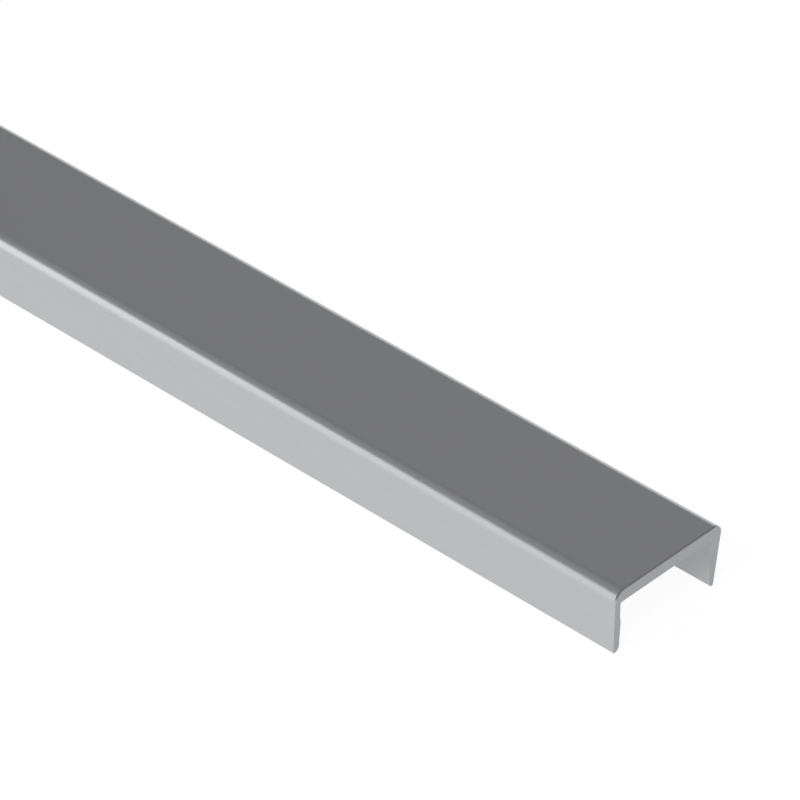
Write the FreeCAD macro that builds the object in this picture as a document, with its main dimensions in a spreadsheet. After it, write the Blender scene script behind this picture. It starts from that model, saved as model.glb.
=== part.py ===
# Handleless finger pull profile: one aluminium extrusion that caps the edge of a furniture board.
# The bar lies along X and its front flange faces -Y. It rests on the tips of its two flanges, at Z = 0,
# and the origin is the middle of that resting face. All sizes are in millimetres.
import FreeCAD, Part
import os
import Sketcher

NODE = "finger_pull_profile"

# The most of a tip's wall that its lead-in may take, of the flat beside it that the lip may, and of the lip
# or the flat that the end break may.
LEAD_IN_SHARE = 0.75
LIP_SHARE = 0.7
BREAK_SHARE = 0.9

# How near to the plane of an end an edge has to lie to belong to it.
END_TOLERANCE = 1e-6

# Driving dimensions: name, value and what it measures.
SIZES = [
    ("bar_length", "1000", "length of the cut bar"),
    ("board_thickness", "18", "board that the channel fits over"),
    ("board_clearance", "0.1", "room left on each side of the board"),
    ("profile_height", "10", "tips of the flanges to the top of the web"),
    ("web_thickness", "2", "web across the top"),
    ("front_wall", "1.2", "front flange at its root"),
    ("front_tip_wall", "1.1", "front flange at its tip, before rounding"),
    ("grip_swell", "0.13", "how far the front flange swells into the channel"),
    ("grip_level", "4.7", "height of the swell's crest above the tips"),
    ("grip_run", "1", "length of the slope from the root down to the crest"),
    ("back_root_wall", "2.3", "back flange at the top of the web, before rounding"),
    ("back_tip_wall", "0.8", "back flange at its tip, before rounding"),
    ("front_corner_radius", "2", "outer corner of the web and the front flange"),
    ("back_corner_radius", "1.5", "outer corner of the web and the back flange"),
    ("inner_corner_radius", "0.3", "corners inside the channel"),
    ("front_lead_in", "0.8", "rounding on the channel side of the front tip"),
    ("back_lead_in", "0.6", "rounding on the channel side of the back tip"),
    ("front_lip_radius", "0.2", "outer edge of the front tip"),
    ("end_break", "0.18", "edge broken all round each sawn end"),
]

# Sizes worked out from the driving ones.
DERIVED = [
    ("channel_width", "=board_thickness + 2 * board_clearance", "clear width between the flanges"),
    ("back_lean", "=atan((back_root_wall - back_tip_wall) / profile_height)", "lean of the back face"),
    ("corner_loss", "=back_corner_radius * ((1 + sin(back_lean)) / cos(back_lean) - 1)",
     "width that the leaning back corner loses when it is rounded"),
    ("profile_width", "=front_wall + channel_width + back_root_wall - corner_loss", "overall width"),
    ("front_lead_cut", f"=min(front_lead_in; {LEAD_IN_SHARE} * front_tip_wall)", "front lead-in as cut"),
    ("back_lead_cut", f"=min(back_lead_in; {LEAD_IN_SHARE} * back_tip_wall)", "back lead-in as cut"),
    ("front_flat", "=front_tip_wall - front_lead_cut", "front tip beside its lead-in"),
    ("back_flat", "=back_tip_wall - back_lead_cut", "back tip beside its lead-in"),
    ("front_lip_cut", f"=min(front_lip_radius; {LIP_SHARE} * front_flat)", "front lip as cut"),
    ("break_cut", f"=min(end_break; {BREAK_SHARE} * min(front_lip_cut; back_flat))", "edge break as cut"),
]

# The corners of the section in order round the outline, as the sketch's lines run from one to the next.
CORNERS = [
    "front_tip_outer",
    "front_top",
    "back_top",
    "back_tip_outer",
    "back_tip_inner",
    "back_root",
    "front_root",
    "swell_top",
    "swell_crest",
    "front_tip_inner",
]


def make_sheet(doc):
    """The spreadsheet of sizes: a label, a value with its alias, and a note on each row."""
    sheet = doc.addObject("Spreadsheet::Sheet", "Sizes")
    for row, (alias, value, note) in enumerate(SIZES + DERIVED, start=1):
        sheet.set(f"A{row}", alias)
        sheet.set(f"B{row}", value)
        sheet.setAlias(f"B{row}", alias)
        sheet.set(f"C{row}", note)
    doc.recompute()
    return sheet


def corner_points(sheet):
    """Each corner of the section before rounding, as its place across (Y) and up (Z)."""
    front = -sheet.profile_width / 2
    front_inner = front + sheet.front_wall
    back_inner = front_inner + sheet.channel_width
    top = sheet.profile_height
    ceiling = top - sheet.web_thickness
    return {
        "front_tip_outer": (front, 0.0),
        "front_top": (front, top),
        "back_top": (back_inner + sheet.back_root_wall, top),
        "back_tip_outer": (back_inner + sheet.back_tip_wall, 0.0),
        "back_tip_inner": (back_inner, 0.0),
        "back_root": (back_inner, ceiling),
        "front_root": (front_inner, ceiling),
        "swell_top": (front_inner, sheet.grip_level + sheet.grip_run),
        "swell_crest": (front_inner + sheet.grip_swell, sheet.grip_level),
        "front_tip_inner": (front + sheet.front_tip_wall, 0.0),
    }


def origin_plane(body, role):
    return next(feature for feature in body.Origin.OriginFeatures if feature.Role == role)


def draw_section(body, points):
    """The section on the YZ plane, with square corners, sized by constraints bound to the sheet."""
    sketch = body.newObject("Sketcher::SketchObject", "Section")
    sketch.AttachmentSupport = [(origin_plane(body, "YZ_Plane"), "")]
    sketch.MapMode = "FlatFace"
    start, end = 1, 2
    line = {}
    for name, following in zip(CORNERS, CORNERS[1:] + CORNERS[:1]):
        here = FreeCAD.Vector(*points[name], 0)
        there = FreeCAD.Vector(*points[following], 0)
        line[name] = sketch.addGeometry(Part.LineSegment(here, there), False)
    for name, following in zip(CORNERS, CORNERS[1:] + CORNERS[:1]):
        sketch.addConstraint(Sketcher.Constraint("Coincident", line[name], end, line[following], start))
    for name in ("front_tip_outer", "back_tip_inner", "front_root"):
        sketch.addConstraint(Sketcher.Constraint("Vertical", line[name]))
    for name in ("front_top", "back_tip_outer", "back_root", "front_tip_inner"):
        sketch.addConstraint(Sketcher.Constraint("Horizontal", line[name]))
    floor_axis, middle = -1, -1
    for name in ("front_tip_outer", "back_tip_inner"):
        sketch.addConstraint(Sketcher.Constraint("PointOnObject", line[name], start, floor_axis))

    def dimension(kind, label, from_corner, to_corner, expression):
        index = 0 if kind == "DistanceX" else 1
        if from_corner is None:
            value = points[to_corner][index]
            ends = (middle, start, line[to_corner], start)
        elif to_corner is None:
            value = -points[from_corner][index]
            ends = (line[from_corner], start, middle, start)
        else:
            value = points[to_corner][index] - points[from_corner][index]
            ends = (line[from_corner], start, line[to_corner], start)
        number = sketch.addConstraint(Sketcher.Constraint(kind, *ends, value))
        sketch.renameConstraint(number, label)
        sketch.setExpression("Constraints." + label, expression)

    dimension("DistanceX", "half_width", "front_tip_outer", None, "Sizes.profile_width / 2")
    dimension("DistanceY", "height", "front_tip_outer", "front_top", "Sizes.profile_height")
    dimension("DistanceY", "web", "front_root", "front_top", "Sizes.web_thickness")
    dimension("DistanceX", "front_wall", "front_top", "front_root", "Sizes.front_wall")
    dimension("DistanceX", "channel", "front_root", "back_root", "Sizes.channel_width")
    dimension("DistanceX", "back_root_wall", "back_root", "back_top", "Sizes.back_root_wall")
    dimension("DistanceX", "back_tip_wall", "back_tip_inner", "back_tip_outer", "Sizes.back_tip_wall")
    dimension("DistanceX", "front_tip_wall", "front_tip_outer", "front_tip_inner", "Sizes.front_tip_wall")
    dimension("DistanceY", "crest_level", None, "swell_crest", "Sizes.grip_level")
    dimension("DistanceY", "crest_run", "swell_crest", "swell_top", "Sizes.grip_run")
    dimension("DistanceX", "crest_swell", "swell_top", "swell_crest", "Sizes.grip_swell")
    return sketch


def long_edges(shape, places):
    """Names of the edges that run along the bar through the given corners of its section."""
    names = []
    for across, up in places:
        target = FreeCAD.Vector(0, across, up)
        number = min(range(len(shape.Edges)),
                     key=lambda i: shape.Edges[i].CenterOfMass.distanceToPoint(target))
        names.append(f"Edge{number + 1}")
    return names


def round_corners(body, base, label, places, expression):
    fillet = body.newObject("PartDesign::Fillet", label)
    fillet.Base = (base, long_edges(base.Shape, places))
    fillet.setExpression("Radius", expression)
    body.Document.recompute()
    return fillet


def break_ends(body, base, half_length, expression):
    """A small chamfer round both sawn ends."""
    at_end = []
    for number, edge in enumerate(base.Shape.Edges, start=1):
        places = [vertex.X for vertex in edge.Vertexes] + [edge.CenterOfMass.x]
        if all(abs(abs(x) - half_length) < END_TOLERANCE for x in places):
            at_end.append(f"Edge{number}")
    chamfer = body.newObject("PartDesign::Chamfer", "EndBreak")
    chamfer.Base = (base, at_end)
    chamfer.setExpression("Size", expression)
    body.Document.recompute()
    return chamfer


def make_bar(doc, sheet):
    body = doc.addObject("PartDesign::Body", "Bar")
    body.Label = NODE
    points = corner_points(sheet)
    sketch = draw_section(body, points)
    bar = body.newObject("PartDesign::Pad", "Extrusion")
    bar.Profile = sketch
    bar.SideType = "Symmetric"
    bar.setExpression("Length", "Sizes.bar_length")
    doc.recompute()
    roundings = [
        ("FrontCorner", ["front_top"], "Sizes.front_corner_radius"),
        ("BackCorner", ["back_top"], "Sizes.back_corner_radius"),
        ("InnerCorners", ["front_root", "back_root"], "Sizes.inner_corner_radius"),
        ("FrontLeadIn", ["front_tip_inner"], "Sizes.front_lead_cut"),
        ("BackLeadIn", ["back_tip_inner"], "Sizes.back_lead_cut"),
        ("FrontLip", ["front_tip_outer"], "Sizes.front_lip_cut"),
    ]
    feature = bar
    for label, corners, expression in roundings:
        places = [points[name] for name in corners]
        feature = round_corners(body, feature, label, places, expression)
    break_ends(body, feature, sheet.bar_length / 2, "Sizes.break_cut")
    return body


def check(doc, body):
    """Stop before anything is written if a feature failed or the bar is not one sound solid."""
    for item in doc.Objects:
        if "Invalid" in item.State or "Error" in item.State:
            raise RuntimeError(f"{item.Name} failed: {item.State}")
    if body.Shape.isNull() or not body.Shape.isValid():
        raise RuntimeError("the bar has no valid shape")
    if len(body.Shape.Solids) != 1:
        raise RuntimeError("the bar is not one solid")


def main():
    doc = FreeCAD.newDocument("FingerPull")
    sheet = make_sheet(doc)
    body = make_bar(doc, sheet)
    doc.recompute()
    check(doc, body)
    os.makedirs("parts", exist_ok=True)
    body.Shape.exportStep(f"parts/{body.Label}.step")
    box = body.Shape.BoundBox
    print(f"{body.Label}: {box.XLength:.3f} x {box.YLength:.3f} x {box.ZLength:.3f} mm,",
          f"volume {body.Shape.Volume:.1f} mm3, middle Y {(box.YMin + box.YMax) / 2:.4f}, floor {box.ZMin:.4f}")


main()
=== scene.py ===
# A satin anodised aluminium finger pull profile, lying on a pale floor in soft studio light.
import math

import bpy
from mathutils import Matrix, Vector


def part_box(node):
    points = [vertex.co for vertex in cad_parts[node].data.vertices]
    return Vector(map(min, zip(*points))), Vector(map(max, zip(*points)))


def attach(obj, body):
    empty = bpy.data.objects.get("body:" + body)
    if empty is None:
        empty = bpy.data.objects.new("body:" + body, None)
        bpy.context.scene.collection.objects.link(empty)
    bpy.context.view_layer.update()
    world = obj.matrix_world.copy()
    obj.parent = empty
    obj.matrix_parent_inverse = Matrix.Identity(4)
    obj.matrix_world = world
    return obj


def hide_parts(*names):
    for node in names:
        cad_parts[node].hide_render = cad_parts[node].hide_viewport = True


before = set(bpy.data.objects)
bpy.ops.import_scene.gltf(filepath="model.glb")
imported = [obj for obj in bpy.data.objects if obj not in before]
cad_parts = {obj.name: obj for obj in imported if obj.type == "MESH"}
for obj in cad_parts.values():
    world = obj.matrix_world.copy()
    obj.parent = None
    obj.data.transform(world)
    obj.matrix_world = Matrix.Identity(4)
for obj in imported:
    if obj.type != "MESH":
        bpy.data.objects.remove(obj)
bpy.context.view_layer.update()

NODE = "finger_pull_profile"
LOW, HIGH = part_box(NODE)
MM = 0.001

# Walls of the section, in metres. Its length, width and height come from the frame.
WEB = 2.0 * MM
CHANNEL = 18.2 * MM
FRONT_WALL = 1.2 * MM
FRONT_TIP_WALL = 1.1 * MM
SWELL = 0.13 * MM
SWELL_LEVEL = 4.7 * MM
SWELL_RUN = 1.0 * MM
BACK_ROOT_WALL = 2.3 * MM
BACK_TIP_WALL = 0.8 * MM

# Roundings of the section.
FRONT_CORNER = 2.0 * MM
BACK_CORNER = 1.5 * MM
INNER_CORNER = 0.3 * MM
SWELL_EASE = 1.2 * MM
FRONT_LEAD_IN = 0.8 * MM
BACK_LEAD_IN = 0.6 * MM
FRONT_LIP = 0.2 * MM
BACK_LIP = 0.1 * MM

# The edge break of the sawn ends, and how fast it fades as the edge turns to the back.
END_BREAK = 0.18 * MM
BREAK_FADE = 2.0

# How finely the mesh is divided, round each arc and along the bar.
ARC_STEP = math.radians(5)
FEWEST_STEPS = 2
STATION_GAP = 0.025

# The metal: its tint, then how much it reflects and how rough it is, each as the two ends of a range.
METAL_TINT = (0.99, 1.0, 1.025, 1.0)
DRAWN_TONE = (0.484, 0.512)
SAWN_TONE = (0.415, 0.475)
DRAWN_ROUGHNESS = (0.29, 0.34)
SAWN_ROUGHNESS = (0.55, 0.63)

# The noise in it: features per metre along X, Y and Z, their detail and roughness, and the lines' depth.
DIE_LINES = (2.0, 5000.0, 5000.0)
SAW_LINES = (3000.0, 250.0, 5000.0)
LINE_DETAIL = 2.0
CLOUDS = (12.0, 60.0, 60.0)
CLOUD_DETAIL = 3.0
NOISE_ROUGHNESS = 0.6
LINE_DEPTH = 1.0e-6

# The range that noise mostly lies in.
NOISE_RANGE = (0.2, 0.8)

# The range of a normal's X, without its sign, over which the drawn finish turns into the sawn one.
SAWN_RANGE = (0.75, 0.97)

# The camera: its aim on the top of the web, measured from the sawn end in view and from the bar's middle.
AIM_FROM_END = 50.08 * MM
AIM_ACROSS = 1.03 * MM
VIEW_AZIMUTH = math.radians(43.446)
VIEW_ELEVATION = math.radians(36.659)
VIEW_DISTANCE = 0.7555
LENS = 246.6

# The floor: its size, gap below the bar and colour, and the share of full white seen in it and reflected.
FLOOR_RADIUS = 40.0
FLOOR_SIDES = 96
FLOOR_GAP = 0.02 * MM
FLOOR_WHITE = 0.95
GLOW_SEEN = 0.95
GLOW_REFLECTED = 0.6

# The sky: the axis that it darkens along, the range of it where it does so, and its two strengths.
SKY_AXIS = (0.8, 0.6, 0.0)
SKY_RANGE = (-0.45, 0.55)
SKY_BRIGHT = 0.35
SKY_DARK = 0.28

# The key light over the floor.
KEY_PLACE = Vector((1.1, -1.6, 2.6))
KEY_AIM = Vector((0.4, 0.0, 0.0))
KEY_WIDTH = 1.8
KEY_HEIGHT = 1.5
KEY_RADIANCE = 9.6

# A faint light above and beyond the far end of the bar, placed from the point that it faces.
UPPER_OFFSET = Vector((-1.1, -0.3, 1.64))
UPPER_WIDTH = 1.0
UPPER_HEIGHT = 0.6
UPPER_RADIANCE = 0.11

# Soft lights that stand on the floor: name, bearing from +X in degrees, distance, width, height, radiance.
STANDING_PANELS = [
    ("wide_panel", 238.0, 2.0, 2.6, 1.6, 0.80),
    ("left_panel", 213.0, 0.6, 0.32, 0.48, 0.60),
    ("front_panel", 278.0, 2.0, 1.1, 1.6, 0.80),
    ("back_panel", 108.0, 4.0, 4.0, 1.9, 0.68),
]


def left_of(direction):
    """A direction in the section, turned a quarter to the left."""
    return Vector((-direction.y, direction.x))


def section_corners():
    """Corners as (across, up, rounding, broken at the ends), clockwise as seen from the end in view."""
    front = LOW.y
    front_inner = front + FRONT_WALL
    back_inner = front_inner + CHANNEL
    floor, top = LOW.z, HIGH.z
    ceiling = top - WEB
    return [
        (front, floor, FRONT_LIP, False),
        (front, top, FRONT_CORNER, True),
        (back_inner + BACK_ROOT_WALL, top, BACK_CORNER, True),
        (back_inner + BACK_TIP_WALL, floor, BACK_LIP, False),
        (back_inner, floor, BACK_LEAD_IN, False),
        (back_inner, ceiling, INNER_CORNER, False),
        (front_inner, ceiling, INNER_CORNER, False),
        (front_inner, floor + SWELL_LEVEL + SWELL_RUN, SWELL_EASE, False),
        (front_inner + SWELL, floor + SWELL_LEVEL, SWELL_EASE, False),
        (front + FRONT_TIP_WALL, floor, FRONT_LEAD_IN, False),
    ]


def end_break(normal):
    """Edge break round the top of a sawn end. It fades out round the back corner."""
    return END_BREAK * min(1.0, max(0.0, 1.0 - BREAK_FADE * normal.x))


def rounded_outline(corners):
    """Points of a clockwise outline as (place, outward normal, end break), each corner turned into an arc."""
    points = [Vector((across, up)) for across, up, _, _ in corners]
    outline = []
    for number, (_, _, radius, has_break) in enumerate(corners):
        here = points[number]
        before = (here - points[number - 1]).normalized()
        after = (points[(number + 1) % len(points)] - here).normalized()
        turn = math.atan2(before.x * after.y - before.y * after.x, before.dot(after))
        outwards = 1 if turn < 0 else -1
        normal = left_of(before)
        start = here - before * radius * math.tan(abs(turn) / 2)
        centre = start - normal * outwards * radius
        steps = max(FEWEST_STEPS, math.ceil(abs(turn) / ARC_STEP))
        for step in range(steps + 1):
            turned = Matrix.Rotation(turn * step / steps, 2) @ normal
            place = centre + turned * outwards * radius
            outline.append((place, turned, end_break(turned) if has_break else 0.0))
    return outline


def bar_stations():
    """Places along the bar: each end's face, the start of its edge break, and even steps between."""
    straight = HIGH.x - LOW.x - 2 * END_BREAK
    count = round(straight / STATION_GAP)
    even = [LOW.x + END_BREAK + straight * step / count for step in range(count + 1)]
    return [LOW.x] + even + [HIGH.x]


def bar_vertices(outline, stations):
    """The section at each station. At the two ends it draws in where the edge is broken."""
    vertices = []
    for number, x in enumerate(stations):
        at_end = number in (0, len(stations) - 1)
        for point, normal, broken in outline:
            place = point - normal * broken if at_end else point
            vertices.append((x, place.x, place.y))
    return vertices


def ring_normals(outline, lean):
    """Normals round the section, leaning along the bar by the given amount where the edge is broken."""
    normals = []
    for _, normal, broken in outline:
        leaning = Vector((lean if broken else 0.0, normal.x, normal.y))
        normals.append(leaning.normalized())
    return normals


def bar_faces(outline, last):
    """Faces between stations 0 and last, then the two end faces, with a normal for each corner of each."""
    count = len(outline)
    faces = []
    normals = []
    for ring in range(last):
        lean = {0: -1.0, last - 1: 1.0}.get(ring, 0.0)
        around = ring_normals(outline, lean)
        near, far = ring * count, (ring + 1) * count
        for i in range(count):
            j = (i + 1) % count
            faces.append((near + i, far + i, far + j, near + j))
            normals += [around[i], around[i], around[j], around[j]]
    faces.append(tuple(range(count)))
    faces.append(tuple(last * count + i for i in reversed(range(count))))
    normals += [Vector((-1.0, 0.0, 0.0))] * count + [Vector((1.0, 0.0, 0.0))] * count
    return faces, normals


def build_bar():
    """One closed mesh. Each face corner has its exact normal, so flats and end breaks stay flat."""
    outline = rounded_outline(section_corners())
    stations = bar_stations()
    faces, normals = bar_faces(outline, len(stations) - 1)
    mesh = bpy.data.meshes.new("profile_bar")
    mesh.from_pydata(bar_vertices(outline, stations), [], faces)
    mesh.polygons.foreach_set("use_smooth", [True] * len(faces))
    mesh.update()
    mesh.normals_split_custom_set(normals)
    bar = bpy.data.objects.new("profile_bar", mesh)
    bpy.context.scene.collection.objects.link(bar)
    return bar


def add_node(tree, kind, **settings):
    """A shader node with its properties, and its inputs where a name isn't a property."""
    node = tree.nodes.new(kind)
    for name, value in settings.items():
        if hasattr(node, name):
            setattr(node, name, value)
        else:
            node.inputs[name.replace("_", " ")].default_value = value
    return node


def stretched_noise(tree, coordinates, scale, detail):
    """Noise on object coordinates, with its own scale along each axis, in features per metre."""
    mapping = add_node(tree, "ShaderNodeMapping", Scale=scale)
    noise = add_node(tree, "ShaderNodeTexNoise", Scale=1.0, Detail=detail, Roughness=NOISE_ROUGHNESS)
    tree.links.new(coordinates, mapping.inputs["Vector"])
    tree.links.new(mapping.outputs["Vector"], noise.inputs["Vector"])
    return noise.outputs["Fac"]


def ranged(tree, value, source, target, interpolation="LINEAR"):
    """A value's source range spread over a target range, and held at its ends beyond that."""
    spread = add_node(tree, "ShaderNodeMapRange", interpolation_type=interpolation)
    for name, limit in zip(("From Min", "From Max", "To Min", "To Max"), source + target):
        spread.inputs[name].default_value = limit
    tree.links.new(value, spread.inputs["Value"])
    return spread.outputs["Result"]


def mixed(tree, factor, first, second):
    """A blend of two values by a factor."""
    mix = add_node(tree, "ShaderNodeMix", data_type="FLOAT")
    tree.links.new(factor, mix.inputs["Factor"])
    tree.links.new(first, mix.inputs["A"])
    tree.links.new(second, mix.inputs["B"])
    return mix.outputs["Result"]


def sawn_mask(tree, normal):
    """One on the sawn ends, nought on the drawn faces."""
    parts = add_node(tree, "ShaderNodeSeparateXYZ")
    size = add_node(tree, "ShaderNodeMath", operation="ABSOLUTE")
    tree.links.new(normal, parts.inputs["Vector"])
    tree.links.new(parts.outputs["X"], size.inputs[0])
    return ranged(tree, size.outputs["Value"], SAWN_RANGE, (0.0, 1.0), "SMOOTHSTEP")


def aluminium():
    """Satin anodised aluminium with fine lengthwise die lines, and a rougher finish on the sawn ends."""
    material = bpy.data.materials.new("satin_anodised_aluminium")
    material.use_nodes = True
    tree = material.node_tree
    shader = tree.nodes["Principled BSDF"]
    shader.inputs["Metallic"].default_value = 1.0
    place = add_node(tree, "ShaderNodeTexCoord")
    mask = sawn_mask(tree, place.outputs["Normal"])
    die_lines = stretched_noise(tree, place.outputs["Object"], DIE_LINES, LINE_DETAIL)
    saw_lines = stretched_noise(tree, place.outputs["Object"], SAW_LINES, LINE_DETAIL)
    clouds = stretched_noise(tree, place.outputs["Object"], CLOUDS, CLOUD_DETAIL)
    drawn_tone = ranged(tree, die_lines, NOISE_RANGE, DRAWN_TONE)
    sawn_tone = ranged(tree, saw_lines, NOISE_RANGE, SAWN_TONE)
    tint = add_node(tree, "ShaderNodeMix", data_type="RGBA", blend_type="MULTIPLY")
    tint.inputs["Factor"].default_value = 1.0
    tint.inputs["A"].default_value = METAL_TINT
    tree.links.new(mixed(tree, mask, drawn_tone, sawn_tone), tint.inputs["B"])
    tree.links.new(tint.outputs["Result"], shader.inputs["Base Color"])
    drawn_rough = ranged(tree, clouds, NOISE_RANGE, DRAWN_ROUGHNESS)
    sawn_rough = ranged(tree, saw_lines, NOISE_RANGE, SAWN_ROUGHNESS)
    tree.links.new(mixed(tree, mask, drawn_rough, sawn_rough), shader.inputs["Roughness"])
    bump = add_node(tree, "ShaderNodeBump", Strength=1.0, Distance=LINE_DEPTH)
    tree.links.new(mixed(tree, mask, die_lines, saw_lines), bump.inputs["Height"])
    tree.links.new(bump.outputs["Normal"], shader.inputs["Normal"])
    return material


def calculated(tree, operation, first, second):
    """A math node's result, from a node's output and either another output or a number."""
    node = add_node(tree, "ShaderNodeMath", operation=operation)
    tree.links.new(first, node.inputs[0])
    if isinstance(second, float):
        node.inputs[1].default_value = second
    else:
        tree.links.new(second, node.inputs[1])
    return node.outputs["Value"]


def floor_material():
    """White diffuse ground, mixed with full white where the camera and reflections see it. Shadows stay."""
    material = bpy.data.materials.new("pale_floor")
    material.use_nodes = True
    tree = material.node_tree
    tree.nodes.clear()
    white = (FLOOR_WHITE, FLOOR_WHITE, FLOOR_WHITE, 1.0)
    ground = add_node(tree, "ShaderNodeBsdfDiffuse", Color=white)
    glow = add_node(tree, "ShaderNodeEmission", Strength=1.0)
    rays = add_node(tree, "ShaderNodeLightPath").outputs
    reflected = calculated(tree, "MAXIMUM", rays["Is Glossy Ray"], rays["Is Transmission Ray"])
    reflected_share = calculated(tree, "MULTIPLY", reflected, GLOW_REFLECTED)
    seen_share = calculated(tree, "MULTIPLY", rays["Is Camera Ray"], GLOW_SEEN)
    mix = add_node(tree, "ShaderNodeMixShader")
    output = add_node(tree, "ShaderNodeOutputMaterial")
    tree.links.new(calculated(tree, "MAXIMUM", reflected_share, seen_share), mix.inputs["Fac"])
    tree.links.new(ground.outputs["BSDF"], mix.inputs[1])
    tree.links.new(glow.outputs["Emission"], mix.inputs[2])
    tree.links.new(mix.outputs["Shader"], output.inputs["Surface"])
    return material


def build_floor():
    bpy.ops.mesh.primitive_circle_add(
        vertices=FLOOR_SIDES, radius=FLOOR_RADIUS, fill_type="NGON", location=(0, 0, LOW.z - FLOOR_GAP))
    floor = bpy.context.object
    floor.name = "floor"
    floor.data.materials.append(floor_material())


def add_panel(name, centre, aim, width, height, radiance):
    """A soft rectangular light of a given radiance, facing the point that it aims at."""
    light = bpy.data.lights.new(name, "AREA")
    light.shape = "RECTANGLE"
    light.size = width
    light.size_y = height
    light.energy = radiance * math.pi * width * height
    lamp = bpy.data.objects.new(name, light)
    lamp.location = centre
    lamp.rotation_euler = (aim - centre).to_track_quat("-Z", "Y").to_euler()
    lamp.visible_camera = False
    bpy.context.scene.collection.objects.link(lamp)
    return lamp


def add_standing_panel(name, bearing, distance, width, height, radiance):
    """A soft light that stands on the floor and faces the end in view."""
    aim = Vector((HIGH.x - AIM_FROM_END, 0.0, height / 2))
    away = Vector((math.cos(bearing), math.sin(bearing), 0.0))
    add_panel(name, aim + away * distance, aim, width, height, radiance)


def shade_world():
    """A plain grey sky that darkens from the front left of the bar to its back right."""
    world = bpy.data.worlds.new("studio")
    world.use_nodes = True
    tree = world.node_tree
    direction = add_node(tree, "ShaderNodeTexCoord")
    along = add_node(tree, "ShaderNodeVectorMath", operation="DOT_PRODUCT")
    along.inputs[1].default_value = SKY_AXIS
    tree.links.new(direction.outputs["Generated"], along.inputs[0])
    sky = ranged(tree, along.outputs["Value"], SKY_RANGE, (SKY_BRIGHT, SKY_DARK))
    background = tree.nodes["Background"]
    background.inputs["Color"].default_value = (1.0, 1.0, 1.0, 1.0)
    tree.links.new(sky, background.inputs["Strength"])
    bpy.context.scene.world = world


def light_studio():
    """The sky and the soft lights. The key is kept out of reflections, so it lights the floor alone."""
    shade_world()
    key = add_panel("overhead_key", KEY_PLACE, KEY_AIM, KEY_WIDTH, KEY_HEIGHT, KEY_RADIANCE)
    key.visible_glossy = False
    aim = Vector((HIGH.x - AIM_FROM_END, 0.0, HIGH.z))
    add_panel("upper_panel", aim + UPPER_OFFSET, aim, UPPER_WIDTH, UPPER_HEIGHT, UPPER_RADIANCE)
    for name, bearing, distance, width, height, radiance in STANDING_PANELS:
        add_standing_panel(name, math.radians(bearing), distance, width, height, radiance)


def add_camera():
    aim = Vector((HIGH.x - AIM_FROM_END, AIM_ACROSS, HIGH.z))
    level = math.cos(VIEW_ELEVATION)
    back = Vector((
        level * math.sin(VIEW_AZIMUTH),
        -level * math.cos(VIEW_AZIMUTH),
        math.sin(VIEW_ELEVATION),
    ))
    camera = bpy.data.objects.new("camera", bpy.data.cameras.new("camera"))
    camera.data.lens = LENS
    camera.location = aim + back * VIEW_DISTANCE
    camera.rotation_euler = back.to_track_quat("Z", "Y").to_euler()
    bpy.context.scene.collection.objects.link(camera)
    bpy.context.scene.camera = camera


def main():
    bar = build_bar()
    bar.data.materials.append(aluminium())
    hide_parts(NODE)
    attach(bar, "root")
    build_floor()
    light_studio()
    add_camera()
    bpy.context.scene.view_settings.view_transform = "Standard"


main()
